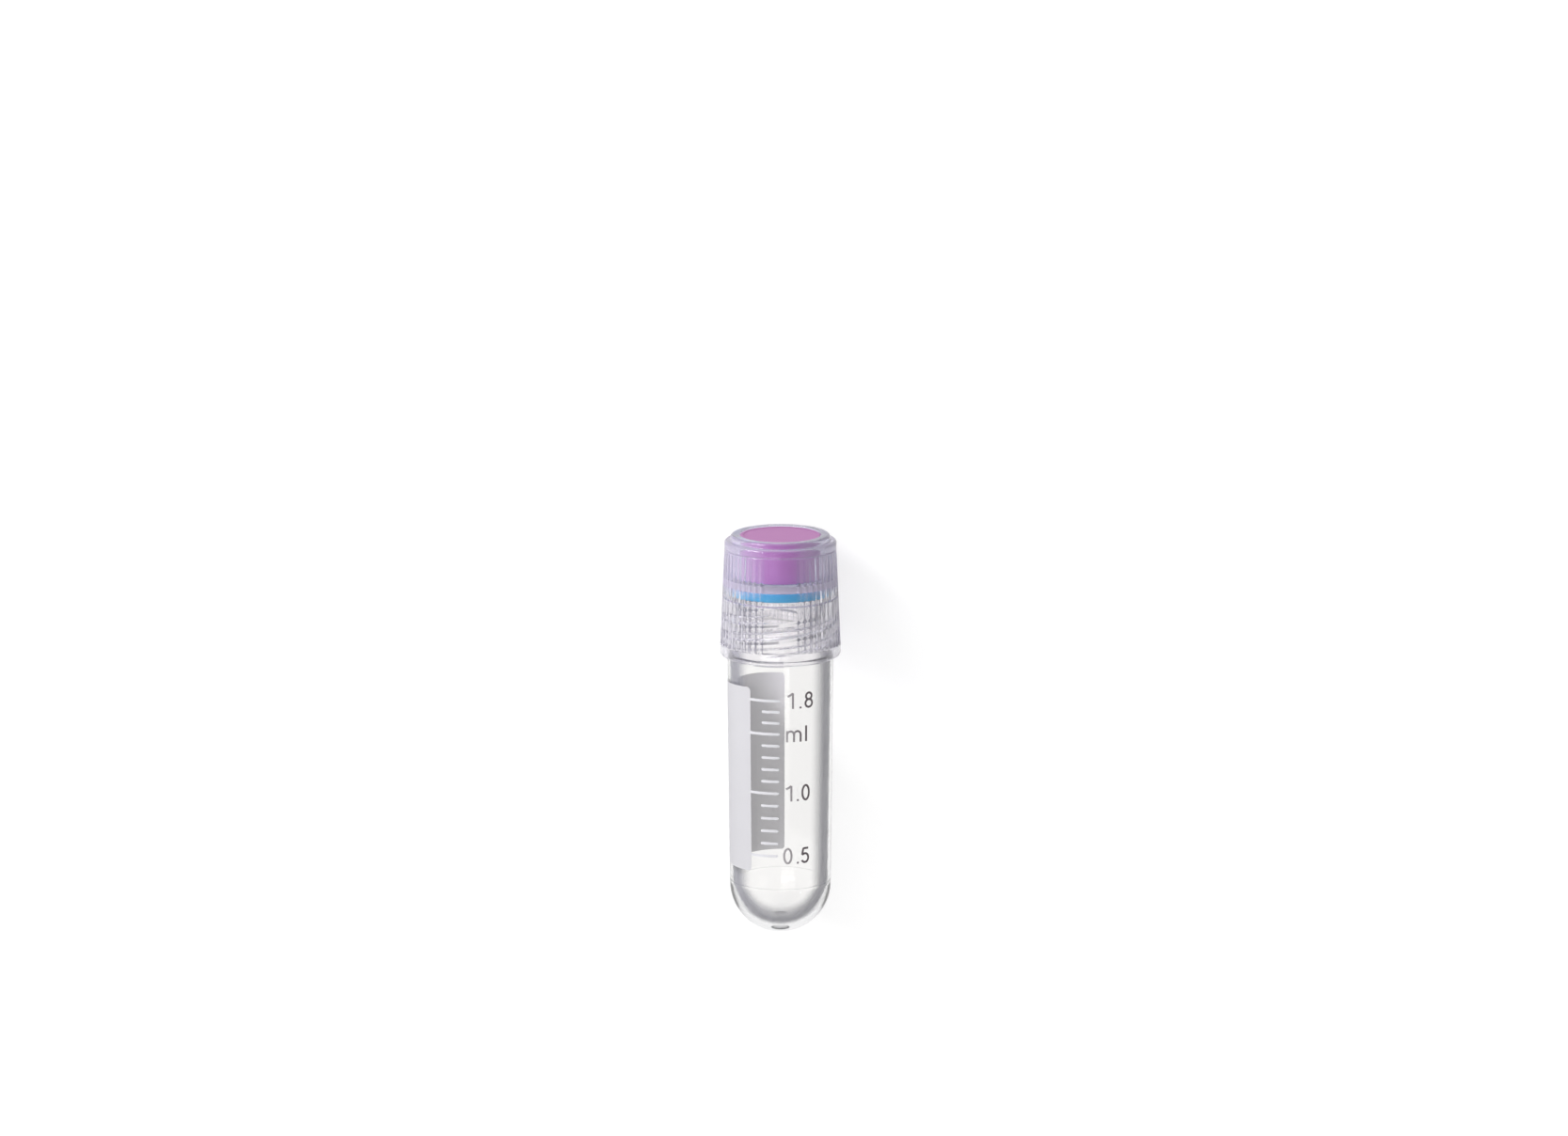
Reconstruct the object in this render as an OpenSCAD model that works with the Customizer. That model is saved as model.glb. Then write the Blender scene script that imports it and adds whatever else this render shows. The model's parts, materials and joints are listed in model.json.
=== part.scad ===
// Cryogenic storage vial, external thread, round bottom, 1.8 ml working volume.
// A clear tube and a translucent screw cap, each moulded in one piece, with a coloured insert pressed
// into the top of the cap and a silicone sealing ring between the cap and the rim of the tube.
// The closed vial lies on its side on the ground, carried by its round bottom and by the lip of the cap.
// Every piece is drawn about the axis of the vial, bottom at z = 0, and lay_down() then puts it in place.

/* [Tube] */
// Bore diameter at the shoulder and through the neck
bore_d = 9.9; // [8:0.1:14]
// How much narrower the bore is where the round bottom begins
bore_draft = 0.6; // [0:0.1:1.2]
// Height of the shoulder that the cap stops above
shoulder_z = 32; // [20:0.5:80]
// Wall of the straight collar below the shoulder
collar_wall = 0.95; // [0.7:0.05:1.5]
// Length of the straight collar, which a rack or rotor holds
collar_len = 3.4; // [2:0.1:6]
// Wall where the round bottom begins
side_wall = 1; // [0.7:0.05:1.5]
// Thickness of the plastic under the bore
bottom_wall = 1.4; // [0.8:0.1:3]
// How much the mould gate flattens the round bottom
gate_flat = 0.1; // [0.05:0.05:0.3]
// Diameter of the gate dimple
gate_d = 1.8; // [1:0.1:3]
// Depth of the gate dimple
gate_depth = 0.25; // [0.1:0.05:0.5]

/* [Neck and thread] */
// Height of the neck above the shoulder
neck_h = 6.7; // [5:0.1:14]
// Wall of the neck between the threads
neck_wall = 0.5; // [0.4:0.05:1.2]
// Height of the thread on the neck
thread_h = 0.4; // [0.2:0.05:0.6]
// Width of the thread at its crest
thread_crest = 0.45; // [0.3:0.05:0.55]
// Slope of a flank, width over height
flank_slope = 0.6; // [0.3:0.05:0.75]
// Travel of the cap in one turn
thread_lead = 3.8; // [3.1:0.1:6]
// Number of thread starts
thread_starts = 2; // [1:1:2]
// Plain neck left above and below the thread
thread_margin = 0.5; // [0.3:0.05:0.8]

/* [Cap] */
// How far the cap reaches down past the shoulder
cap_overlap = 0.4; // [0.2:0.1:1.5]
// Wall of the cap at its smooth lip
lip_wall = 0.75; // [0.6:0.05:1.5]
// Height of the lip
lip_h = 1.5; // [0.9:0.1:2.5]
// Radius of the rounded edge of the lip
lip_round = 0.5; // [0.2:0.05:0.8]
// How far the ribs lie inside the lip
grip_inset = 0.03; // [0:0.01:0.1]
// How much the grip narrows towards its top, on each side
grip_taper = 0.27; // [0:0.01:0.3]
// Height that the ribs stand out
rib_h = 0.22; // [0.1:0.02:0.28]
// Width of a rib
rib_w = 0.42; // [0.2:0.02:0.6]
// Ribs in each group
ribs_per_group = 13; // [4:1:16]
// Groups of ribs, with a smooth window between each two
rib_groups = 3; // [1:1:3]
// Angle between the ribs on the two sides of a window
window_angle = 39; // [20:1:50]
// How far the wide step of the crown lies inside the top of the grip
step_inset = 0.18; // [0.05:0.01:0.3]
// Height of the wide step
step_h = 0.95; // [0.6:0.05:1.5]
// Wall of the rim round the insert
rim_wall = 1.05; // [0.5:0.05:1.2]
// Height of the rim
rim_h = 0.65; // [0.4:0.05:1]
// Thickness of the wall between the insert and the sealing ring
web = 0.8; // [0.6:0.1:2]

/* [Insert and sealing ring] */
// Diameter of the coloured insert
insert_d = 9.0; // [7:0.02:10.4]
// Depth of the recess that holds the insert
insert_recess = 4.8; // [3:0.1:6]
// Thickness of the top and the wall of the insert
insert_wall = 1.1; // [0.6:0.1:2]
// How far the insert lies below the rim
insert_below = 0.1; // [0:0.05:0.5]
// How far the sealing ring reaches out past the neck
seal_out = 0.3; // [0.2:0.05:0.35]
// How far the sealing ring reaches in past the wall of the bore
seal_in = 0.65; // [0:0.05:2]
// Thickness of the sealing ring
seal_t = 1; // [0.6:0.1:2]

/* [Clearances] */
// Gap round the insert in its recess
insert_gap = 0.02; // [0.01:0.01:0.05]
// Gap round the sealing ring in its seat
seal_gap = 0.05; // [0.03:0.01:0.2]
// Gap above and below the sealing ring
seal_play = 0.05; // [0.04:0.01:0.1]
// Gap over the crests of the two threads
crest_gap = 0.15; // [0.1:0.01:0.3]
// Gap between the loaded flanks of the two threads, along the axis
flank_gap = 0.12; // [0.1:0.01:0.3]

/* [Hidden] */
$fn = 96;

// Small edge breaks, and a margin that lets one cut run past another
edge = 0.15;
crown_round = 0.35;
past = 1;

// The collar tapers a little towards the shoulder, starting this far below the lip of the cap
collar_taper = 0.1;
collar_taper_below = 0.2;

// How far the ribs stop short of the top of the grip
rib_stop = 0.23;

// Radii of the tube
bore_r = bore_d / 2;
bore_bottom_r = bore_r - bore_draft / 2;
collar_r = bore_r + collar_wall;
shoulder_r = collar_r - collar_taper;
bottom_r = bore_bottom_r + side_wall;
neck_r = bore_r + neck_wall;
thread_r = neck_r + thread_h;

// Radii of the sealing ring, the insert and the cap
seal_r = neck_r + seal_out;
seal_bore_r = bore_r - seal_in;
insert_r = insert_d / 2;
recess_r = insert_r + insert_gap;
seat_r = seal_r + seal_gap;
cap_crest_r = neck_r + crest_gap;
cap_bore_r = thread_r + crest_gap;
lip_r = cap_bore_r + lip_wall;
grip_bottom_r = lip_r - grip_inset;
grip_top_r = grip_bottom_r - grip_taper;
step_r = grip_top_r - step_inset;
rim_r = recess_r + rim_wall;
lip_bend = min(lip_round, lip_wall - edge);

// Heights along the axis, from the bottom of the tube up
bottom_centre_z = bottom_r - gate_flat;
bore_centre_z = bottom_wall + bore_bottom_r;
neck_z = shoulder_z + neck_h;
seat_z = neck_z - thread_margin + edge;
seal_z = neck_z + seal_play;
web_z = seal_z + seal_t + seal_play;
recess_z = web_z + web;
cap_top_z = recess_z + insert_recess;
cap_z = shoulder_z - cap_overlap;
collar_end_z = cap_z - collar_taper_below;
lip_top_z = cap_z + lip_h;
step_z = cap_top_z - rim_h;
grip_top_z = step_z - step_h;

// Thread: the cap's ridges hang just under the neck's, one lead a turn
arc_step = 10;
root_sink = 0.15;
end_sink = 0.09;
run_out = 30;
half_ridges = thread_crest + flank_slope * (thread_r - cap_crest_r);
cap_thread_drop = half_ridges + flank_gap;
cap_thread_turn = 360 * cap_thread_drop / thread_lead;
neck_ridge_foot = thread_crest + 2 * flank_slope * thread_h;
neck_thread_z = shoulder_z + thread_margin + neck_ridge_foot / 2;
neck_thread_rise = neck_h - 2 * thread_margin - neck_ridge_foot;
cap_thread_rise = neck_thread_rise - cap_thread_drop;

// Rest on the ground: the round bottom and the rounded lip touch it, so the axis rises towards the cap
rest_z = cap_z + lip_bend - bottom_centre_z;
rest_r = lip_r - lip_bend;
rest_tilt = acos((bottom_r - lip_bend) / norm([rest_r, rest_z])) - atan(rest_z / rest_r);
bottom_flat_r = sqrt(pow(bottom_r, 2) - pow(bottom_centre_z, 2));
back_y = -bottom_flat_r * sin(rest_tilt);
rim_centre_r = rim_r - crown_round;
front_y = (cap_top_z - crown_round) * cos(rest_tilt) + rim_centre_r * sin(rest_tilt) + crown_round;
rest_shift = [0, -(back_y + front_y) / 2, bottom_r - bottom_centre_z * sin(rest_tilt)];

// Puts a piece drawn about the vial's axis where it lies, cap towards +Y and graduations up
module lay_down() {
    translate(rest_shift) rotate([rest_tilt - 90, 0, 0]) children();
}

// Points on an arc from angle a to angle b
function arc(centre, r, a, b, steps = 6) =
    [for (i = [0:steps]) let (t = a + (b - a) * i / steps) centre + r * [cos(t), sin(t)]];

// A half disc below its centre, joined to the outline above it
module round_ended(r, centre_z, outline) {
    intersection() {
        translate([0, centre_z]) circle(r);
        translate([0, centre_z - r - past]) square([r + past, r + past]);
    }
    polygon(concat([[0, centre_z], [r, centre_z]], outline));
}

// One ridge of a thread: rises one lead a turn and fades into the wall at both ends
module thread_ridge(foot_r, crest_r, start_z, rise) {
    out = sign(crest_r - foot_r);
    sunk_r = foot_r - out * root_sink;
    height = abs(crest_r - foot_r);
    sunk_half = thread_crest / 2 + flank_slope * (height + root_sink);
    turn = 360 * rise / thread_lead;
    steps = ceil(turn / arc_step);
    function fade(a) = min(1, a / run_out, (turn - a) / run_out);
    function ring(i) =
        let (a = turn * i / steps, z = start_z + rise * i / steps, f = fade(a),
            r = foot_r + out * ((height + end_sink) * f - end_sink),
            half = sunk_half - flank_slope * abs(r - sunk_r))
        [for (p = [[sunk_r, -sunk_half], [r, -half], [r, half], [sunk_r, sunk_half]])
            [p[0] * cos(a), p[0] * sin(a), z + p[1]]];
    points = [for (i = [0:steps]) each ring(i)];
    sides = [for (i = [0:steps - 1], k = [0:3])
        let (a = 4 * i + k, b = 4 * i + (k + 1) % 4) each [[a, b, b + 4], [a, b + 4, a + 4]]];
    ends = [[3, 2, 1, 0], [for (k = [0:3]) 4 * steps + k]];
    faces = concat(sides, ends);
    polyhedron(points, out < 0 ? [for (f = faces) [for (k = [len(f) - 1:-1:0]) f[k]]] : faces);
}

// All the starts of a thread
module thread(foot_r, crest_r, start_z, rise) {
    for (k = [0:thread_starts - 1])
        rotate([0, 0, 360 * k / thread_starts]) thread_ridge(foot_r, crest_r, start_z, rise);
}

// Tube with its threaded neck
module vial_tube() {
    wall = [
        [collar_r, shoulder_z - collar_len], [collar_r, collar_end_z],
        [shoulder_r, shoulder_z - edge], [shoulder_r - edge, shoulder_z],
        [neck_r, shoulder_z], [neck_r, neck_z - edge], [neck_r - edge, neck_z], [0, neck_z]
    ];
    hollow = [
        [bore_r, shoulder_z], [bore_r, neck_z - edge], [bore_r + edge, neck_z],
        [bore_r + edge, neck_z + past], [0, neck_z + past]
    ];
    color("#dfe3ee", 0.5) lay_down() {
        difference() {
            rotate_extrude() difference() {
                round_ended(bottom_r, bottom_centre_z, wall);
                round_ended(bore_bottom_r, bore_centre_z, hollow);
                translate([0, -past]) square([bottom_r, past]);
            }
            translate([0, 0, -past]) cylinder(d = gate_d, h = gate_depth + past);
        }
        thread(neck_r, thread_r, neck_thread_z, neck_thread_rise);
    }
}

// Wall of the cap with its web, seat and recess, without ribs or thread
module cap_shell() {
    lip_edge = arc([lip_r - lip_bend, cap_z + lip_bend], lip_bend, -90, 0);
    grip_edge = arc([grip_top_r - rib_h - edge, grip_top_z - edge], edge, 0, 90, 3);
    step_edge = arc([step_r - crown_round, step_z - crown_round], crown_round, 0, 90);
    rim_edge = arc([rim_r - crown_round, cap_top_z - crown_round], crown_round, 0, 90);
    outside = concat(
        lip_edge, [[lip_r, lip_top_z], [grip_bottom_r - rib_h, lip_top_z]], grip_edge,
        [[step_r, grip_top_z]], step_edge, [[rim_r, step_z]], rim_edge
    );
    inside = [
        [recess_r, cap_top_z], [recess_r, recess_z], [0, recess_z], [0, web_z], [seat_r, web_z],
        [seat_r, seat_z], [cap_bore_r, seat_z - edge], [cap_bore_r, cap_z + edge], [cap_bore_r + edge, cap_z]
    ];
    rotate_extrude() polygon(concat(outside, inside));
}

// Ribs of the grip, each a flat bar with a round top end
module grip_ribs() {
    rib_pitch = (360 / rib_groups - window_angle) / (ribs_per_group - 1);
    rib_end_z = grip_top_z - rib_stop - rib_w / 2;
    root_r = grip_top_r - rib_h - root_sink;
    bar = concat([[-rib_w / 2, cap_z], [rib_w / 2, cap_z]], arc([0, rib_end_z], rib_w / 2, 0, 180));
    intersection() {
        rotate_extrude() polygon([
            [root_r, lip_top_z - edge], [grip_bottom_r, lip_top_z - edge],
            [grip_bottom_r, lip_top_z], [grip_top_r, grip_top_z], [root_r, grip_top_z]
        ]);
        for (g = [0:rib_groups - 1], k = [0:ribs_per_group - 1])
            rotate([0, 0, g * 360 / rib_groups + window_angle / 2 + k * rib_pitch - 90])
                translate([root_r - edge, 0, 0]) rotate([90, 0, 90])
                    linear_extrude(height = grip_bottom_r - root_r + past) polygon(bar);
    }
}

// Screw cap
module screw_cap() {
    color("#c9c6dd", 0.6) lay_down() {
        cap_shell();
        grip_ribs();
        rotate([0, 0, cap_thread_turn]) thread(cap_bore_r, cap_crest_r, neck_thread_z, cap_thread_rise);
    }
}

// Coloured insert: a cup pressed into the crown, open side down
module colour_insert() {
    top_z = cap_top_z - insert_below;
    hollow_r = insert_r - insert_wall;
    color("#c58cc4") lay_down() rotate_extrude() polygon([
        [hollow_r, recess_z], [insert_r - edge, recess_z], [insert_r, recess_z + edge],
        [insert_r, top_z - edge], [insert_r - edge, top_z], [0, top_z],
        [0, top_z - insert_wall], [hollow_r, top_z - insert_wall]
    ]);
}

// Silicone sealing ring between the rim of the tube and the web of the cap
module seal_ring() {
    color("#3ba6d8") lay_down() translate([0, 0, seal_z]) difference() {
        cylinder(r = seal_r, h = seal_t);
        translate([0, 0, -past]) cylinder(r = seal_bore_r, h = seal_t + 2 * past);
    }
}

vial_tube();
screw_cap();
colour_insert();
seal_ring();
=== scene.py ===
import json
import math

import bmesh
import bpy
import numpy as np
from mathutils import Matrix, Vector

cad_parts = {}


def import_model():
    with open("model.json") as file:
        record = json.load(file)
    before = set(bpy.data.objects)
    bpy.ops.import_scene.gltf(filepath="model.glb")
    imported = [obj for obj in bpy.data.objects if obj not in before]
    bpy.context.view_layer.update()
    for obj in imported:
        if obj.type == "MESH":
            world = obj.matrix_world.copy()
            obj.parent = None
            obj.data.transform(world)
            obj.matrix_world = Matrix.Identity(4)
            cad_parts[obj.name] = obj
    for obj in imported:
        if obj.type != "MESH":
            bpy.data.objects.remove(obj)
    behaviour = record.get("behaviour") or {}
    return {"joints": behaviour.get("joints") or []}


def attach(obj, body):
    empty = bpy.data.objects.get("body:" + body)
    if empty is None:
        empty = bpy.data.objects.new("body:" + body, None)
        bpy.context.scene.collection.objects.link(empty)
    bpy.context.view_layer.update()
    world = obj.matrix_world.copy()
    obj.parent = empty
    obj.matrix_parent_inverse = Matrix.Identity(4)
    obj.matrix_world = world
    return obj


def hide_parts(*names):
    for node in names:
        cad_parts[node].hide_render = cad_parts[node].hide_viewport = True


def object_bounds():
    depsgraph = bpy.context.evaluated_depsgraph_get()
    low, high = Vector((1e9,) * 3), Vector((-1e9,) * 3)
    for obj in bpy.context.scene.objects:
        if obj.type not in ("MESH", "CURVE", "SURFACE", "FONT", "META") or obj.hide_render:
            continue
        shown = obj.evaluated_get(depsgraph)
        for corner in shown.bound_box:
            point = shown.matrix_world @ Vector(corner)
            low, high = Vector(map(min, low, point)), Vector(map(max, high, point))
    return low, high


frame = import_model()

CAD_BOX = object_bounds()

# ---------------------------------------------------------------------------------------------
# Sizes in millimetres, as in the CAD source. Heights are along the axis from the tube's bottom.
# ---------------------------------------------------------------------------------------------
MM = 0.001
EDGE = 0.15

BORE_R, BORE_BOTTOM_R = 4.95, 4.65
COLLAR_R, SHOULDER_R, BOTTOM_R = 5.9, 5.8, 5.65
BOTTOM_CENTRE, BORE_CENTRE = 5.55, 6.05
COLLAR_H, COLLAR_END, SHOULDER_H = 28.6, 31.4, 32.0
GATE_R, GATE_DEPTH = 0.9, 0.25
NECK_R, NECK_H = 5.45, 38.7
# Middle of the bowl that stands for the bore's end in the tube's material, and where the mould parts
BOWL_CENTRE, PARTING_H = 5.8, BOTTOM_CENTRE + 0.4

THREAD_H, THREAD_CREST, FLANK_SLOPE = 0.4, 0.45, 0.6
THREAD_LEAD, THREAD_STARTS, RUN_OUT, END_SINK = 3.8, 2, 30.0, 0.09
THREAD_START, NECK_THREAD_RISE, CAP_THREAD_RISE = 32.965, 4.77, 4.05
CAP_THREAD_TURN = 68.2105

SEAL_R, SEAL_BORE_R, SEAL_H, SEAL_T = 5.75, 4.3, 38.75, 1.0
WEB_H, RECESS_H, CAP_TOP, CAP_H = 39.8, 40.6, 45.4, 31.6
CAP_BORE_R, SEAT_R, SEAT_H = 6.0, 5.8, 38.35
LIP_R, LIP_TOP, LIP_BEND = 6.75, 33.1, 0.5
GRIP_BOTTOM_R, GRIP_TOP_R, GRIP_TOP = 6.72, 6.45, 43.8
STEP_R, STEP_H, RIM_R, CROWN_ROUND = 6.27, 44.75, 5.57, 0.35
RECESS_R, INSERT_R, INSERT_TOP, INSERT_WALL = 4.52, 4.5, 45.3, 1.1
DISH_BORDER, DISH_DEPTH = 0.35, 0.04

RIB_H, RIB_W, RIB_END = 0.22, 0.42, 43.36
RIBS, RIB_GROUPS, WINDOW = 13, 3, 39.0

# The vial's axis, from the joint that the cap turns on
turn = next(j for j in frame["joints"] if j["name"] == "cap_turn")
AXIS = np.array(turn["axis"], float)
AXIS /= np.linalg.norm(AXIS)
SIDE = np.array([1.0, 0.0, 0.0])
FRONT = np.cross(SIDE, AXIS)
BASE = np.array(turn["pos_m"], float) - AXIS * (SEAL_H + SEAL_T / 2) * MM


def place(r, angle, h):
    """Points in the row frame from radius and height in mm and angle in degrees from the front."""
    r, angle, h = np.broadcast_arrays(np.asarray(r, float), np.radians(angle), np.asarray(h, float))
    out = (r * np.cos(angle))[..., None] * FRONT + (r * np.sin(angle))[..., None] * SIDE
    return (out + h[..., None] * AXIS) * MM + BASE


# ---------------------------------------------------------------------------------------------
# Mesh tools
# ---------------------------------------------------------------------------------------------
def make_piece(name, points, faces, material, smooth=True):
    """A mesh object from points, faces and a material, linked to the scene."""
    mesh = bpy.data.meshes.new(name)
    mesh.from_pydata([tuple(p) for p in points], [], faces)
    mesh.materials.append(material)
    mesh.polygons.foreach_set("use_smooth", [smooth] * len(mesh.polygons))
    mesh.update()
    obj = bpy.data.objects.new(name, mesh)
    bpy.context.scene.collection.objects.link(obj)
    return obj


def outline(corners, hold=0.05, arc_step=15.0):
    """A profile of (r, h) points from corners (r, h) or (r, h, fillet): each fillet becomes an arc,
    with a point held close on both sides so that flat stretches shade flat."""
    out = []
    for i, c in enumerate(corners):
        p = np.array(c[:2], float)
        if len(c) < 3 or not c[2]:
            out.append(p)
            continue
        a = np.array(corners[i - 1][:2], float) - p
        b = np.array(corners[i + 1][:2], float) - p
        la, lb = np.linalg.norm(a), np.linalg.norm(b)
        a, b = a / la, b / lb
        opening = math.acos(max(-1.0, min(1.0, float(a @ b))))
        back = c[2] / math.tan(opening / 2)
        centre = p + (a + b) / np.linalg.norm(a + b) * c[2] / math.sin(opening / 2)
        start, end = p + a * back - centre, p + b * back - centre
        swing = math.pi - opening
        steps = max(2, math.ceil(math.degrees(swing) / arc_step))
        side = math.copysign(1.0, start[0] * end[1] - start[1] * end[0])
        if back + hold < 0.9 * la:
            out.append(p + a * (back + hold))
        for k in range(steps + 1):
            t = side * swing * k / steps
            spin = np.array([[math.cos(t), -math.sin(t)], [math.sin(t), math.cos(t)]])
            out.append(centre + spin @ start)
        if back + hold < 0.9 * lb:
            out.append(p + b * (back + hold))
    return np.array(out)


def arc(r, h, radius, a, b, steps):
    """Corners on an arc about (r, h), from angle a to angle b in degrees."""
    turns = np.radians(np.linspace(a, b, steps + 1))
    return [(r + radius * math.cos(t), h + radius * math.sin(t)) for t in turns]


def refine(points, low, high, step):
    """The same profile with extra points wherever it runs between two heights."""
    out = [points[0]]
    for a, b in zip(points[:-1], points[1:]):
        inside = min(a[1], b[1]) >= low - 1e-6 and max(a[1], b[1]) <= high + 1e-6
        parts = max(1, math.ceil(np.linalg.norm(b - a) / step)) if inside else 1
        out += [a + (b - a) * k / parts for k in range(1, parts + 1)]
    return np.array(out)


def soft_min(a, b, k):
    """The smaller of a and b, rounded over a width k where they cross."""
    t = np.clip(0.5 + 0.5 * (b - a) / k, 0, 1)
    return b + (a - b) * t - k * t * (1 - t)


def soft_step(x, low, high):
    """0 below low, 1 above high and an S-curve between."""
    t = np.clip((x - low) / (high - low), 0, 1)
    return t * t * (3 - 2 * t)


def even_angles(count):
    """That many angles in degrees, evenly spaced round the axis."""
    return np.linspace(0, 360, count + 1)[:-1]


def turned(name, radii, heights, angles, material, ring=False):
    """A closed turned body. radii and heights have a row for each profile point and a column for each
    angle. Unless the profile is a ring, its first and last points lie on the axis."""
    cols = len(angles)
    if ring:
        grid_r, grid_h = radii, heights
    else:
        grid_r, grid_h = radii[1:-1], heights[1:-1]
    rows = len(grid_r)
    points = place(grid_r, angles[None, :], grid_h).reshape(-1, 3)
    rights = np.roll(np.arange(cols), -1)
    faces = []
    for j in range(rows if ring else rows - 1):
        low, high = j * cols, (j + 1) % rows * cols
        faces += [(low + i, low + k, high + k, high + i) for i, k in enumerate(rights)]
    if not ring:
        ends = place([0, 0], 0, [heights[0, 0], heights[-1, 0]])
        points = np.vstack([points, ends])
        first, last = rows * cols, rows * cols + 1
        top = (rows - 1) * cols
        faces += [(first, k, i) for i, k in enumerate(rights)]
        faces += [(last, top + i, top + k) for i, k in enumerate(rights)]
    return make_piece(name, points, faces, material)


def thread(angles, heights, first_angle, rise):
    """How far the ridges of a thread stand out of their wall at each angle and height."""
    total_turn = 360 * rise / THREAD_LEAD
    out = np.zeros(np.broadcast_shapes(angles.shape, heights.shape))
    for k in range(THREAD_STARTS):
        start = first_angle + 360 * k / THREAD_STARTS
        for lap in range(math.ceil(total_turn / 360) + 1):
            along = (angles - start) % 360 + 360 * lap
            fade = np.minimum(1, np.minimum(along, total_turn - along) / RUN_OUT)
            peak = (THREAD_H + END_SINK) * fade - END_SINK
            off = np.abs(heights - THREAD_START - THREAD_LEAD * along / 360)
            flank = THREAD_H - (off - THREAD_CREST / 2) / FLANK_SLOPE
            ridge = -soft_min(-soft_min(peak, flank, 0.1), 0.0, 0.1)
            out = np.maximum(out, np.where(along <= total_turn, ridge, 0))
    return out


# ---------------------------------------------------------------------------------------------
# Material tools
# ---------------------------------------------------------------------------------------------
PLASTIC_IOR, INK_IOR = 1.49, 1.48
INK_GRAIN, INK_GRAIN_DEPTH = 2600.0, 0.00002


def add(tree, kind, inputs=None, **settings):
    """A node with its settings, and its inputs set to values or linked to sockets."""
    made = tree.nodes.new(kind)
    for key, value in settings.items():
        setattr(made, key, value)
    for key, value in (inputs or {}).items():
        if isinstance(value, bpy.types.NodeSocket):
            tree.links.new(value, made.inputs[key])
        else:
            made.inputs[key].default_value = value
    return made


def new_material(name):
    """An empty node material and its output node."""
    material = bpy.data.materials.new(name)
    material.use_nodes = True
    material.node_tree.nodes.clear()
    return material, material.node_tree, add(material.node_tree, "ShaderNodeOutputMaterial")


def colour(r, g, b):
    """A display colour from 0 to 255 as a linear one."""
    return tuple((v / 255) ** 2.2 for v in (r, g, b)) + (1.0,)


def ramp(tree, value, low, high, to_min=0.0, to_max=1.0):
    """value from low to high, as a smooth step from to_min to to_max."""
    return add(tree, "ShaderNodeMapRange", {"Value": value, "From Min": low, "From Max": high,
               "To Min": to_min, "To Max": to_max}, interpolation_type="SMOOTHSTEP").outputs[0]


def math_node(tree, operation, a, b, clamp=False):
    """One sum of two numbers."""
    return add(tree, "ShaderNodeMath", {0: a, 1: b}, operation=operation, use_clamp=clamp).outputs[0]


def times(tree, a, b):
    """a times b."""
    return math_node(tree, "MULTIPLY", a, b)


def plus(tree, a, b):
    """a plus b."""
    return math_node(tree, "ADD", a, b)


def larger(tree, a, b):
    """The larger of a and b."""
    return math_node(tree, "MAXIMUM", a, b)


def less(tree, a, b):
    """a less b."""
    return math_node(tree, "SUBTRACT", a, b)


def vector_node(tree, operation, a, b, output=0):
    """One sum of two vectors."""
    return add(tree, "ShaderNodeVectorMath", {0: a, 1: b}, operation=operation).outputs[output]


def own_place(tree):
    """Where a point lies in the piece's own coordinates, in metres."""
    return add(tree, "ShaderNodeTexCoord").outputs["Object"]


def blend(tree, factor, first, second):
    """A colour between two."""
    mix = add(tree, "ShaderNodeMix", {"Factor": factor}, data_type="RGBA")
    mix.inputs[6].default_value, mix.inputs[7].default_value = first, second
    return mix.outputs[2]


def along_axis(tree):
    """Height above the tube's bottom in metres."""
    return less(tree, vector_node(tree, "DOT_PRODUCT", own_place(tree), tuple(AXIS), "Value"),
                float(BASE @ AXIS))


def step_up(tree, height, low, high):
    """0 below the lower height, 1 above the higher one, both in mm."""
    return ramp(tree, height, low * MM, high * MM)


def step_down(tree, height, low, high, rest=0.0):
    """1 below the lower height, and the rest above the higher one, both in mm."""
    return ramp(tree, height, low * MM, high * MM, 1.0, rest)


def grain(tree, scale, strength, distance, detail=3.0):
    """A bump normal from fine noise, in the piece's own coordinates."""
    noise = add(tree, "ShaderNodeTexNoise", {"Vector": own_place(tree), "Scale": scale, "Detail": detail})
    return add(tree, "ShaderNodeBump", {"Height": noise.outputs[0], "Strength": strength,
               "Distance": distance}).outputs[0]


def mottled(tree, base, other, scale):
    """A colour that drifts a little between two close ones."""
    noise = add(tree, "ShaderNodeTexNoise", {"Vector": own_place(tree), "Scale": scale, "Detail": 4.0})
    return blend(tree, noise.outputs[0], base, other)


def lamps_pass(tree, surface, tint):
    """The surface, but letting light from the lamps through to what lies behind it."""
    path = add(tree, "ShaderNodeLightPath").outputs
    passing = larger(tree, path["Is Shadow Ray"], path["Is Diffuse Ray"])
    clear = add(tree, "ShaderNodeBsdfTransparent", {"Color": tint}).outputs[0]
    return add(tree, "ShaderNodeMixShader", {0: passing, 1: surface, 2: clear}).outputs[0]


def tube_places(tree):
    """Three measures in metres: how far a point lies from the bore's line, which ends in the middle of
    the round bottom; how far from the whole axis; and how far along the axis from that middle."""
    end = tuple(BASE + AXIS * BOWL_CENTRE * MM)
    away = vector_node(tree, "SUBTRACT", own_place(tree), end)
    along = vector_node(tree, "DOT_PRODUCT", away, tuple(AXIS), "Value")
    above = larger(tree, along, 0.0)
    axial = add(tree, "ShaderNodeVectorMath", {0: tuple(AXIS), "Scale": above},
                operation="SCALE").outputs[0]
    off = vector_node(tree, "SUBTRACT", away, axial)
    deep = add(tree, "ShaderNodeVectorMath", {0: off}, operation="LENGTH").outputs["Value"]
    round_axis = vector_node(tree, "CROSS_PRODUCT", away, tuple(AXIS))
    wide = add(tree, "ShaderNodeVectorMath", {0: round_axis}, operation="LENGTH").outputs["Value"]
    return deep, wide, along


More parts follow.
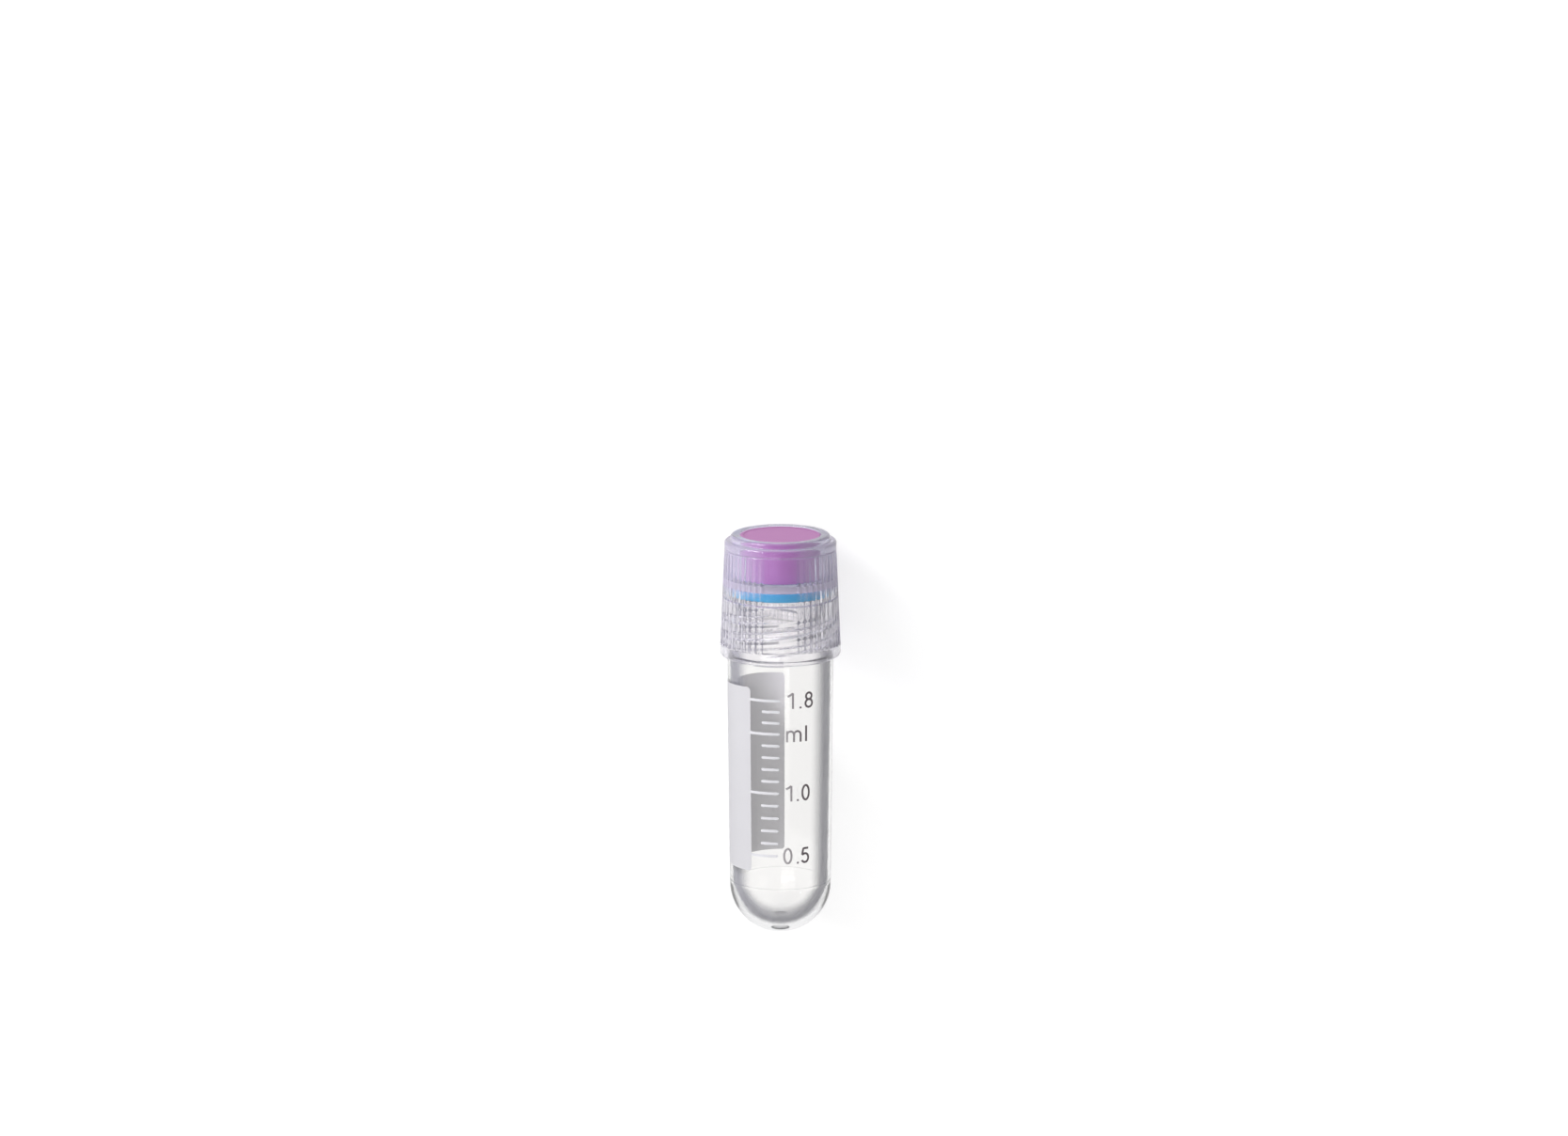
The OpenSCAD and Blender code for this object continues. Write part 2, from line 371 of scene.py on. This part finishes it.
def clear_plastic():
    """The tube's clear polypropylene. On the walls of the bore a dark matt share is mixed in by the
    ray's slant: painted shade for the dark bands where such a wall would reflect a dim room. The gate's
    mark is matt, and a faint line goes round where the mould's halves met."""
    material, tree, out = new_material("clear_plastic")
    shell = add(tree, "ShaderNodeBsdfPrincipled", {
        "Base Color": (0.995, 0.99, 0.98, 1.0), "Roughness": 0.03, "IOR": PLASTIC_IOR,
        "Transmission Weight": 1.0, "Normal": grain(tree, 900.0, 0.05, 0.00002)})
    deep, wide, along = tube_places(tree)

    # Painted shade: a dark matt share between two slants to the ray, on the bore's side of the wall only
    facing = add(tree, "ShaderNodeLayerWeight", {"Blend": 0.5}).outputs["Facing"]
    inside = add(tree, "ShaderNodeNewGeometry").outputs["Backfacing"]
    wall = times(tree, ramp(tree, facing, 0.12, 0.27), ramp(tree, facing, 0.325, 0.37, 1.0, 0.0))
    bowl = times(tree, ramp(tree, facing, -0.01, 0.36), ramp(tree, facing, 0.34, 0.43, 1.0, 0.0))
    lower = step_down(tree, along, -3.2, -1.2)
    share = add(tree, "ShaderNodeMix", {0: lower, 2: wall, 3: bowl}, data_type="FLOAT").outputs[0]
    share = times(tree, times(tree, share, inside), ramp(tree, deep, 5.15 * MM, 5.25 * MM, 0.8, 0.0))
    # Painted shade: this dark matt closure stands in for a dim room seen in the bore's wall
    painted_shade = add(tree, "ShaderNodeBsdfDiffuse", {"Color": (0.22, 0.22, 0.27, 1.0)}).outputs[0]
    surface = add(tree, "ShaderNodeMixShader", {0: share, 1: shell.outputs[0], 2: painted_shade}).outputs[0]

    # The gate's matt mark and the line where the mould's halves met
    gate = times(tree, ramp(tree, wide, 0.85 * MM, GATE_R * MM, 0.4, 0.0),
                 step_down(tree, along, -5.4, -5.3))
    seam = times(tree, step_up(tree, along, 0.1, 0.14), step_down(tree, along, 0.16, 0.2))
    seam = times(tree, seam, ramp(tree, deep, 5.3 * MM, 5.5 * MM, 0.0, 0.22))
    matt = add(tree, "ShaderNodeBsdfDiffuse", {"Color": (0.16, 0.16, 0.18, 1.0)}).outputs[0]
    marks = larger(tree, gate, seam)
    surface = add(tree, "ShaderNodeMixShader", {0: marks, 1: surface, 2: matt}).outputs[0]

    tree.links.new(lamps_pass(tree, surface, (0.99, 0.99, 0.99, 1.0)), out.inputs["Surface"])
    depth = add(tree, "ShaderNodeVolumeAbsorption", {"Color": (0.72, 0.73, 0.78, 1.0), "Density": 70.0})
    tree.links.new(depth.outputs[0], out.inputs["Volume"])
    return material


def rib_fields(tree):
    """How far a point of the cap's wall is on a rib: 1 on a rib's crest, 0.12 between two ribs, 0 in the
    three smooth windows and on lip and crown."""
    away = vector_node(tree, "SUBTRACT", own_place(tree), tuple(BASE))
    side, front = (vector_node(tree, "DOT_PRODUCT", away, tuple(line), "Value") for line in (SIDE, FRONT))
    angle = math_node(tree, "ARCTAN2", side, front)
    group, window, soft = math.radians(360 / RIB_GROUPS), math.radians(WINDOW), 0.03
    off = less(tree, angle, window / 2 - 2 * group)
    turn_in = math_node(tree, "MODULO", off, group)
    ribbed = times(tree, ramp(tree, turn_in, -soft, soft),
                   ramp(tree, turn_in, group - window - soft, group - window + soft, 1.0, 0.0))
    high = along_axis(tree)
    ribbed = times(tree, ribbed, step_up(tree, high, LIP_TOP - 0.1, LIP_TOP + 0.1))
    ribbed = times(tree, ribbed, step_down(tree, high, RIB_END - 0.1, RIB_END + 0.1))
    squares = plus(tree, times(tree, side, side), times(tree, front, front))
    radius = math_node(tree, "POWER", squares, 0.5)
    slope = (GRIP_BOTTOM_R - GRIP_TOP_R) / (GRIP_TOP - LIP_TOP)
    level = plus(tree, times(tree, high, slope), radius)
    crest = GRIP_BOTTOM_R + slope * LIP_TOP
    return times(tree, ribbed, ramp(tree, level, (crest - 0.9 * RIB_H) * MM, (crest - 0.3 * RIB_H) * MM,
                                    0.12, 1.0))


def cap_haze(tree, crown, ribbed):
    """The milk's share of the cap: more at the grazing edges, on the ribs, in the crown and in the web,
    and less on the rim's top. The height where the ring shows keeps clearer."""
    facing = add(tree, "ShaderNodeLayerWeight", {"Blend": 0.5}).outputs["Facing"]
    height = along_axis(tree)
    beside = larger(tree, crown, step_down(tree, height, SEAL_H - 0.3, SEAL_H - 0.1))
    edge = times(tree, ramp(tree, facing, 0.02, 0.75, 0.01, 0.34), ramp(tree, beside, 0.0, 1.0, 0.7, 1.0))
    milky = plus(tree, edge, times(tree, crown, ramp(tree, facing, 0.02, 0.12, 0.0, 0.18)))
    milky = times(tree, milky, step_down(tree, height, CAP_TOP - 0.4, CAP_TOP - 0.1, 0.35))
    web = times(tree, step_up(tree, height, WEB_H + 0.05, WEB_H + 0.15),
                step_down(tree, height, RECESS_H, RECESS_H + 0.1))
    milky = plus(tree, milky, times(tree, web, ramp(tree, facing, 0.0, 0.5, 0.4, 0.12)))
    return plus(tree, milky, times(tree, ribbed, ramp(tree, beside, 0.0, 1.0, 0.1, 0.21)))


def cap_plastic():
    """The cap's translucent polypropylene: clear and milky shares, both lavender above the web."""
    material, tree, out = new_material("cap_plastic")
    crown = step_up(tree, along_axis(tree), WEB_H - 0.9, WEB_H + 0.1)
    tint = blend(tree, crown, (0.95, 0.94, 0.96, 1.0), (0.87, 0.885, 0.98, 1.0))
    milk = blend(tree, crown, (0.70, 0.69, 0.76, 1.0), (0.60, 0.55, 0.70, 1.0))
    ribbed = rib_fields(tree)
    rough = add(tree, "ShaderNodeMapRange", {"Value": ribbed, "To Min": 0.06, "To Max": 0.07}).outputs[0]
    clear = add(tree, "ShaderNodeBsdfPrincipled", {
        "Base Color": tint, "Roughness": rough, "IOR": PLASTIC_IOR,
        "Transmission Weight": 1.0, "Normal": grain(tree, 700.0, 0.06, 0.00003)}).outputs[0]
    body = add(tree, "ShaderNodeBsdfPrincipled", {
        "Base Color": milk, "Roughness": 0.22, "IOR": PLASTIC_IOR,
        "Normal": grain(tree, 700.0, 0.06, 0.00003)}).outputs[0]
    haze = cap_haze(tree, crown, ribbed)
    surface = add(tree, "ShaderNodeMixShader", {0: haze, 1: clear, 2: body}).outputs[0]
    tree.links.new(lamps_pass(tree, surface, (0.93, 0.92, 0.96, 1.0)), out.inputs["Surface"])
    depth = add(tree, "ShaderNodeVolumeAbsorption", {"Color": (0.3, 0.2, 0.62, 1.0), "Density": 25.0})
    tree.links.new(depth.outputs[0], out.inputs["Volume"])
    return material


def solid_plastic(name, base, other, roughness, bump, thin=0.0):
    """A plastic, rubber or ink with a faint mottle and a fine grain. A thin one lets light through."""
    material, tree, out = new_material(name)
    tint = mottled(tree, base, other, 260.0)
    surface = add(tree, "ShaderNodeBsdfPrincipled", {
        "Base Color": tint, "Roughness": roughness, "IOR": INK_IOR,
        "Normal": grain(tree, INK_GRAIN, bump, INK_GRAIN_DEPTH)}).outputs[0]
    if thin:
        through = add(tree, "ShaderNodeBsdfTranslucent", {"Color": tint}).outputs[0]
        surface = add(tree, "ShaderNodeMixShader", {0: thin, 1: surface, 2: through}).outputs[0]
    tree.links.new(surface, out.inputs["Surface"])
    return material


# ---------------------------------------------------------------------------------------------
# Pieces
# ---------------------------------------------------------------------------------------------
def tube():
    """Tube with its round bottom, threaded neck and bore."""
    low = math.degrees(math.asin(-BOTTOM_CENTRE / BOTTOM_R))
    outside = [(0, GATE_DEPTH), (GATE_R, GATE_DEPTH, 0.06), (GATE_R, 0.0, 0.05)]
    outside += arc(0, BOTTOM_CENTRE, BOTTOM_R, low, 0, 28)
    wall_r = wall_radius(PARTING_H)
    outside += [(wall_r, PARTING_H - 0.06), (wall_r + 0.02, PARTING_H), (wall_r, PARTING_H + 0.06)]
    outside += [(wall_radius(PARTING_H + a), PARTING_H + a) for a in (0.1, 0.2)]
    outside += [(COLLAR_R, COLLAR_H, 1.5), (COLLAR_R, COLLAR_END, 0.3), (SHOULDER_R, SHOULDER_H, 0.15)]
    outside += [(NECK_R, SHOULDER_H, 0.1), (NECK_R, NECK_H, 0.15)]
    inside = [(BORE_R, NECK_H, 0.15), (BORE_R, SHOULDER_H, 3.0)]
    inside += arc(0, BORE_CENTRE, BORE_BOTTOM_R, 0, -90, 24)
    profile = refine(outline(outside + inside), SHOULDER_H + 0.1, NECK_H - 0.1, 0.055)
    r, h = profile[:, :1], profile[:, 1:]
    angles = even_angles(256)
    on_neck = (r > NECK_R - 0.01) & (h > SHOULDER_H + 0.1) & (h < NECK_H - 0.1)
    out = np.where(on_neck, thread(angles[None, :] - 90, h, 0.0, NECK_THREAD_RISE), 0)
    body = turned("vial_tube_body", r + out, np.broadcast_to(h, (len(h), len(angles))), angles,
                  clear_plastic())
    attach(body, "vial")
    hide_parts("vial_tube")
    return body


def cap_angles():
    """Angles of the cap's columns: close together on each rib, wider apart in the windows."""
    pitch = (360 / RIB_GROUPS - WINDOW) / (RIBS - 1)
    degree = math.degrees(1 / GRIP_BOTTOM_R)
    offsets = np.array([-0.30, -0.25, -0.20, -0.15, 0, 0.15, 0.20, 0.25, 0.30]) * degree
    angles, centres = [], []
    for g in range(RIB_GROUPS):
        first = g * 360 / RIB_GROUPS + WINDOW / 2
        for k in range(RIBS):
            centres.append(first + k * pitch)
            angles += list(centres[-1] + offsets)
        angles += list(np.linspace(centres[-1] + 4, centres[-1] + WINDOW - 4, 15))
    return np.sort(np.array(angles) % 360), np.array(centres) % 360


def cap():
    """Screw cap: lip, ribbed grip, stepped crown, recess, web, seat and thread."""
    ledge = GRIP_BOTTOM_R - RIB_H
    under = [(0, WEB_H), (SEAT_R, WEB_H, 0.1), (SEAT_R, SEAT_H, 0.08), (CAP_BORE_R, SEAT_H - EDGE, 0.1),
             (CAP_BORE_R, CAP_H + EDGE, 0.08), (CAP_BORE_R + EDGE, CAP_H)]
    lip = arc(LIP_R - LIP_BEND, CAP_H + LIP_BEND, LIP_BEND, -90, 0, 8)
    grip = [(LIP_R, LIP_TOP, 0.12), (ledge, LIP_TOP, 0.1), (GRIP_TOP_R - RIB_H, GRIP_TOP, 0.15)]
    crown = [(STEP_R - 0.2, GRIP_TOP, 0.05), (STEP_R, GRIP_TOP + 0.12, 0.1),
             (STEP_R, STEP_H, CROWN_ROUND), (RIM_R, STEP_H, 0.12), (RIM_R, CAP_TOP, CROWN_ROUND)]
    recess = [(RECESS_R, CAP_TOP, 0.1), (RECESS_R, RECESS_H, 0.1), (0, RECESS_H)]
    profile = outline(under + lip + grip + crown + recess)
    bore_end = len(outline(under))
    profile = np.vstack([refine(profile[:bore_end], CAP_H, SEAT_H - EDGE, 0.07), profile[bore_end:]])
    profile = refine(profile, RIB_END - 0.1, RIB_END + 0.35, 0.05)
    r, h = profile[:, :1], profile[:, 1:]
    angles, centres = cap_angles()

    inner = (np.abs(r - CAP_BORE_R) < 0.01) & (h > CAP_H + EDGE) & (h < SEAT_H - EDGE)
    ridges = thread(angles[None, :] - 90, h, CAP_THREAD_TURN, CAP_THREAD_RISE)

    aside = (angles[None, :] - centres[:, None] + 180) % 360 - 180
    nearest = np.abs(aside).min(axis=0) * math.radians(1) * GRIP_BOTTOM_R
    beyond = np.maximum(h - RIB_END, 0)
    inset = RIB_W / 2 + 0.02 - np.hypot(nearest[None, :], beyond)
    rib_r = np.interp(h, [LIP_TOP, GRIP_TOP], [GRIP_BOTTOM_R, GRIP_TOP_R])
    on_grip = (r > CAP_BORE_R + 0.2) & (h > LIP_TOP - 0.06) & (h < GRIP_TOP)
    stand = np.where(on_grip, soft_step(inset, -0.05, 0.11) * np.maximum(rib_r - r, 0), 0)
    shape = r + stand - np.where(inner, ridges, 0)

    body = turned("screw_cap_body", shape, np.broadcast_to(h, shape.shape), angles, cap_plastic())
    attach(body, "cap")
    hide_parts("screw_cap")
    return body


def insert():
    """Coloured insert: a cup pressed open side down into the crown, its top very slightly dished."""
    hollow = INSERT_R - INSERT_WALL
    profile = outline([
        (0, INSERT_TOP - INSERT_WALL), (hollow, INSERT_TOP - INSERT_WALL, 0.2), (hollow, RECESS_H, 0.1),
        (INSERT_R, RECESS_H, 0.15), (INSERT_R, INSERT_TOP, 0.15),
        (INSERT_R - DISH_BORDER, INSERT_TOP, 0.1),
        (INSERT_R - DISH_BORDER - 0.1, INSERT_TOP - DISH_DEPTH, 0.1), (0, INSERT_TOP - DISH_DEPTH)])
    r, h = profile[:, :1], profile[:, 1:]
    angles = even_angles(192)
    shape = np.broadcast_to(r, (len(r), len(angles)))
    material = solid_plastic("insert_plastic", colour(194, 119, 188), colour(189, 114, 184),
                             0.42, 0.08, thin=0.08)
    body = turned("colour_insert_body", shape, np.broadcast_to(h, shape.shape), angles, material)
    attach(body, "cap")
    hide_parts("colour_insert")
    return body


def seal():
    """Silicone sealing ring with rounded edges."""
    r0, r1, low, high = SEAL_BORE_R, SEAL_R, SEAL_H, SEAL_H + SEAL_T
    profile = outline([(r0, low + 0.3), (r0, low, 0.12), (r1, low, 0.12), (r1, high, 0.12),
                       (r0, high, 0.12), (r0, high - 0.3)])
    r, h = profile[:, :1], profile[:, 1:]
    angles = even_angles(192)
    shape = np.broadcast_to(r, (len(r), len(angles)))
    material = solid_plastic("silicone", colour(0, 162, 212), colour(0, 154, 204), 0.3, 0.05)
    body = turned("seal_ring_body", shape, np.broadcast_to(h, shape.shape), angles, material, ring=True)
    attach(body, "seal")
    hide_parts("seal_ring")
    return body


# ---------------------------------------------------------------------------------------------
# Print on the tube: thin layers of ink that follow its wall
# ---------------------------------------------------------------------------------------------
INK_LIFT, INK_THICK = 0.004, 0.014
# Heights of the long lines: 1.8, 1.5, 1.0 and 0.5 ml
LINE_18, LINE_15, LINE_10, LINE_05 = 27.6, 23.8, 17.0, 9.8
LONG_LINE_START, SHORT_LINE_START, LINE_END, LINE_HALF = -35.5, -20.5, -0.5, 0.15
LINE_CORNER, LINE_STEP, LINE_LEAN = 0.14, 1.5, 2.2


def wall_radius(h):
    """Radius of the tube's outside between its round bottom and its collar."""
    return np.interp(h, [BOTTOM_CENTRE, COLLAR_H, COLLAR_END], [BOTTOM_R, COLLAR_R, COLLAR_R])


def slab(sections, lift=INK_LIFT, closed=False):
    """Points and faces of a thin slab on the wall. sections is a list of ((angle, h), (angle, h)),
    the two edges of the slab at each step along it."""
    pairs = np.array(sections, float)
    angle, h = pairs[..., 0], pairs[..., 1]
    low = place(wall_radius(h) + lift, angle, h)
    high = place(wall_radius(h) + lift + INK_THICK, angle, h)
    points = np.stack([high[:, 0], high[:, 1], low[:, 1], low[:, 0]], axis=1).reshape(-1, 3)
    count = len(pairs)
    faces = []
    for j in range(count if closed else count - 1):
        a, b = 4 * j, 4 * ((j + 1) % count)
        faces += [(a + k, b + k, b + (k + 1) % 4, a + (k + 1) % 4) for k in range(4)]
    if not closed:
        faces += [(0, 1, 2, 3), (4 * count - 1, 4 * count - 2, 4 * count - 3, 4 * count - 4)]
    return points, faces


def print_piece(name, slabs, material, inner=None):
    """One printed piece from several slabs, riding on the tube. The side towards the wall, which shows
    through the tube, takes the inner material if there is one: a brighter copy of the ink, with light
    painted in."""
    points, faces = [], []
    for p, f in slabs:
        start = sum(len(x) for x in points)
        points.append(p)
        faces += [tuple(start + i for i in face) for face in f]
    body = make_piece(name, np.vstack(points), faces, material, smooth=False)
    mesh = body.data
    bm = bmesh.new()
    bm.from_mesh(mesh)
    bmesh.ops.recalc_face_normals(bm, faces=bm.faces)
    bm.to_mesh(mesh)
    bm.free()
    if inner:
        mesh.materials.append(inner)
        for face in mesh.polygons:
            out = np.cross(np.cross(AXIS, np.array(face.center) - BASE), AXIS)
            face.material_index = int(np.dot(face.normal, out) < -0.7 * np.linalg.norm(out))
    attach(body, "vial")
    return body


def band(start, end, low, high, corner, step=2.0, drops=(0.0, 0.0)):
    """A slab between two angles and two heights, with rounded corners. At its end the lower and the upper
    edge lie lower by the two drops."""
    span = abs(end - start)
    count = max(12, math.ceil(span / step))
    near = math.degrees(corner / COLLAR_R)
    ends = near * (1 - np.cos(np.linspace(0, math.pi / 2, 7)))
    offsets = np.unique(np.concatenate([ends, np.linspace(near, span - near, count), span - ends]))
    sections = []
    for off in offsets:
        edge = min(off, span - off) / near * corner
        cut = corner - math.sqrt(max(0.0, corner ** 2 - (corner - min(edge, corner)) ** 2))
        angle = start + math.copysign(off, end - start)
        cut = min(cut, 0.49 * (high - low))
        fall_low, fall_high = (drop * off / span for drop in drops)
        sections.append(((angle, high - cut - fall_high), (angle, low + cut - fall_low)))
    return slab(sections)


def writing_panel():
    """White panel to write on, round the left side of the tube."""
    material = solid_plastic("panel_ink", (0.69, 0.685, 0.72, 1.0), (0.665, 0.66, 0.695, 1.0),
                             0.55, 0.25, thin=0.1)
    # Painted light: the side towards the wall is a brighter copy of the panel's ink, as too little light
    # reaches it through the tube
    inner = solid_plastic("panel_ink_painted_light_inner", (0.94, 0.93, 0.965, 1.0), (0.92, 0.91, 0.945, 1.0),
                          0.55, 0.25)
    return print_piece("print_writing_panel", [band(-34.6, -185.3, 7.9, 28.97, 0.45, drops=(-0.1, 0.7))],
                       material, inner)


def graduations():
    """White lines, a long one at each marked volume and short ones between, which reach less far to the
    right the lower they are."""
    marks = [(LINE_18, LINE_15, 3), (LINE_15, LINE_10, 5), (LINE_10, LINE_05, 5)]
    slabs = []
    for high, low, parts in marks:
        for k in range(parts):
            h = high + (low - high) * k / parts
            lean = LINE_LEAN * (LINE_18 - h) / (LINE_18 - LINE_05)
            first = LONG_LINE_START if k == 0 else SHORT_LINE_START - lean
            slabs.append(band(first, LINE_END - lean, h - LINE_HALF, h + LINE_HALF,
                              LINE_CORNER, LINE_STEP))
    slabs.append(band(LONG_LINE_START, LINE_END - LINE_LEAN, LINE_05 - LINE_HALF, LINE_05 + LINE_HALF,
                      LINE_CORNER, LINE_STEP))
    material = solid_plastic("line_ink", (0.74, 0.74, 0.78, 1.0), (0.68, 0.68, 0.72, 1.0), 0.5, 0.2)
    return print_piece("print_graduations", slabs, material)


def ellipse(cx, cy, rx, ry, a=90.0, b=450.0, steps=28):
    """Points of a stroke along an ellipse, from angle a to angle b."""
    turns = np.radians(np.linspace(a, b, steps + 1))
    return [(cx + rx * math.cos(t), cy + ry * math.sin(t)) for t in turns]


# Strokes of each sign in units of its height
SIGNS = {
    "0": [ellipse(0.225, 0.5, 0.225, 0.45)],
    "1": [[(0.0, 0.77), (0.16, 0.84), (0.33, 0.97)], [(0.33, 0.97), (0.33, 0.0)]],
    "5": [[(0.46, 0.93), (0.12, 0.93), (0.04, 0.52)], ellipse(0.23, 0.33, 0.235, 0.275, 140, -150)],
    "8": [ellipse(0.235, 0.73, 0.2, 0.205), ellipse(0.235, 0.285, 0.235, 0.24)],
    ".": [[(0.0, 0.0), (0.0, 0.12)]],
    "m": [[(0.0, 0.0), (0.0, 0.7)],
          [(0.0, 0.42)] + ellipse(0.215, 0.45, 0.215, 0.22, 165, 0, 10) + [(0.43, 0.0)],
          [(0.43, 0.42)] + ellipse(0.64, 0.45, 0.21, 0.22, 165, 0, 10) + [(0.85, 0.0)]],
    "l": [[(0.0, 0.0), (0.0, 0.97)]],
}
# Each label's middle height and its signs, with where each starts along the wall from the front
LABELS = [
    (LINE_18, [("1", 0.80), (".", 2.30), ("8", 2.9)]),
    (LINE_15, [("m", 0.74), ("l", 2.98)]),
    (LINE_10, [("1", 0.62), (".", 1.98), ("0", 2.52)]),
    (LINE_05, [("0", 0.42), (".", 1.98), ("5", 2.42)]),
]


def stroke(path, width):
    """Edges of a stroke of that width along a path in the plane of the wall, in mm."""
    path = np.array(path, float)
    closed = np.linalg.norm(path[0] - path[-1]) < 1e-6
    lengths = np.concatenate([[0], np.cumsum(np.linalg.norm(np.diff(path, axis=0), axis=1))])
    count = max(3, math.ceil(lengths[-1] / 0.1))
    want = np.linspace(0, lengths[-1], count + 1)
    fine = np.stack([np.interp(want, lengths, path[:, k]) for k in (0, 1)], axis=1)
    if closed:
        fine = fine[:-1]
        ahead = np.roll(fine, -1, axis=0) - np.roll(fine, 1, axis=0)
    else:
        ahead = np.gradient(fine, axis=0)
    ahead /= np.linalg.norm(ahead, axis=1)[:, None]
    across = np.stack([-ahead[:, 1], ahead[:, 0]], axis=1) * width / 2
    return fine + across, fine - across, closed


def numerals():
    """Volumes in grey beside the long lines, and their unit. The grey is lighter at the left and
    darker towards the right, with a ragged border.
    """
    size, width = 1.84, 0.24
    slabs = []
    for middle, signs in LABELS:
        scale = math.degrees(1 / wall_radius(middle))
        for sign, start in signs:
            for n, path in enumerate(SIGNS[sign]):
                here = [(start + size * u, middle + size * (v - 0.5)) for u, v in path]
                left, right, closed = stroke(here, width)
                sections = [((a[0] * scale, a[1]), (b[0] * scale, b[1])) for a, b in zip(left, right)]
                slabs.append(slab(sections, INK_LIFT + 0.002 * n, closed))
    material, tree, out = new_material("numeral_ink")
    place_of = own_place(tree)
    across = vector_node(tree, "DOT_PRODUCT", place_of, tuple(SIDE), "Value")
    ragged_noise = add(tree, "ShaderNodeTexNoise",
               {"Vector": place_of, "Scale": 3500.0, "Detail": 2.0}).outputs[0]
    # Grey from light at the left to dark towards the right, by the position across the tube and a noise
    thin = less(tree, times(tree, ragged_noise, 0.0016), across)
    shade = blend(tree, ramp(tree, thin, -0.0022, 0.0002), colour(98, 90, 94), colour(168, 164, 168))
    ink = add(tree, "ShaderNodeBsdfPrincipled", {
        "Base Color": shade, "Roughness": 0.5, "IOR": INK_IOR,
        "Normal": grain(tree, INK_GRAIN, 0.2, INK_GRAIN_DEPTH)}).outputs[0]
    tree.links.new(ink, out.inputs["Surface"])
    return print_piece("print_numerals", slabs, material)


# ---------------------------------------------------------------------------------------------
# Floor, light and camera
# ---------------------------------------------------------------------------------------------
CENTRE = Vector((CAD_BOX[0] + CAD_BOX[1]) / 2)
AXIS_V, FRONT_V, SIDE_V = Vector(AXIS), Vector(FRONT), Vector(SIDE)
MIRRORED_SHARE, FLOOR_LIFT, AMBIENT = 0.4, 0.68, 0.38


def background_share(tree):
    """1 for rays from the camera or let through by the object, less for mirrored ones, else 0."""
    path = add(tree, "ShaderNodeLightPath").outputs
    seen = plus(tree, path["Is Camera Ray"], path["Is Transmission Ray"])
    return math_node(tree, "ADD", seen, times(tree, path["Is Glossy Ray"], MIRRORED_SHARE), clamp=True)


def floor():
    """Plain pale floor: white as the background, darker only where the object shades it."""
    material, tree, out = new_material("floor")
    path = add(tree, "ShaderNodeLightPath").outputs
    matt = add(tree, "ShaderNodeBsdfDiffuse", {"Color": (0.42, 0.42, 0.42, 1.0)}).outputs[0]
    lift = add(tree, "ShaderNodeEmission", {"Color": (1, 1, 1, 1),
               "Strength": times(tree, path["Is Camera Ray"], FLOOR_LIFT)}).outputs[0]
    seen = add(tree, "ShaderNodeAddShader", {0: matt, 1: lift}).outputs[0]
    white = add(tree, "ShaderNodeEmission", {"Color": (1, 1, 1, 1), "Strength": 1.0}).outputs[0]
    through = larger(tree, path["Is Glossy Ray"], path["Is Transmission Ray"])
    both = add(tree, "ShaderNodeMixShader", {0: through, 1: seen, 2: white}).outputs[0]
    tree.links.new(both, out.inputs["Surface"])
    half = 1.5
    plane = make_piece("floor", [(-half, -half, 0), (half, -half, 0), (half, half, 0), (-half, half, 0)],
                       [(0, 1, 2, 3)], material, smooth=False)


def world():
    """A white surround for the background and for reflections; a dimmer one lights the object."""
    surround = bpy.data.worlds.new("surround")
    bpy.context.scene.world = surround
    surround.use_nodes = True
    tree = surround.node_tree
    tree.nodes.clear()
    strength = add(tree, "ShaderNodeMapRange", {"Value": background_share(tree), "To Min": AMBIENT,
                   "To Max": 1.0}).outputs[0]
    shell = add(tree, "ShaderNodeBackground", {"Color": (1, 1, 1, 1), "Strength": strength}).outputs[0]
    tree.links.new(shell, add(tree, "ShaderNodeOutputWorld").inputs["Surface"])


def lamp(name, side, front, axis, distance, width, height, watts, tint, shown=False):
    """A rectangular lamp in a direction given along the vial's own axes, aimed at the vial, its width
    running round the vial. Only a shown lamp is mirrored in the plastic."""
    data = bpy.data.lights.new(name, "AREA")
    data.shape, data.size, data.size_y = "RECTANGLE", width, height
    data.energy, data.color = watts, tint
    obj = bpy.data.objects.new(name, data)
    bpy.context.scene.collection.objects.link(obj)
    away = (SIDE_V * side + FRONT_V * front + AXIS_V * axis).normalized()
    around = AXIS_V.cross(away).normalized()
    turned_to = Matrix((around, away.cross(around), away)).transposed()
    obj.matrix_world = Matrix.Translation(CENTRE + away * distance) @ turned_to.to_4x4()
    obj.visible_glossy = shown


def camera():
    """Looks down on the lying vial from the cap's side, as the photograph's view of it upright."""
    elevation = math.radians(12.2)
    distance, frame_width = 1.2, 0.1753
    back = FRONT_V * math.cos(elevation) + AXIS_V * math.sin(elevation)
    up = AXIS_V * math.cos(elevation) - FRONT_V * math.sin(elevation)
    right = up.cross(back)
    target = CENTRE + up * 0.01835 + right * 0.0004
    data = bpy.data.cameras.new("camera")
    data.sensor_width = 36.0
    data.lens = data.sensor_width * distance / frame_width
    data.clip_start, data.clip_end = 0.01, 10.0
    obj = bpy.data.objects.new("camera", data)
    bpy.context.scene.collection.objects.link(obj)
    turned_to = Matrix((right, up, back)).transposed()
    obj.matrix_world = Matrix.Translation(target + back * distance) @ turned_to.to_4x4()
    bpy.context.scene.camera = obj


camera()
tube()
cap()
insert()
seal()
writing_panel()
graduations()
numerals()
floor()
world()
lamp("key_lamp", -0.72, 0.42, 0.6, 0.5, 0.32, 0.12, 1.9, (1.0, 0.99, 0.98), shown=True)
lamp("top_lamp", -0.4, 1.0, 0.15, 0.7, 0.5, 0.5, 1.7, (1.0, 1.0, 1.0))
lamp("right_lamp", 0.8, 0.5, 0.2, 0.6, 0.3, 0.3, 0.2, (1.0, 0.95, 0.90))

scene = bpy.context.scene
scene.view_settings.view_transform = "Standard"
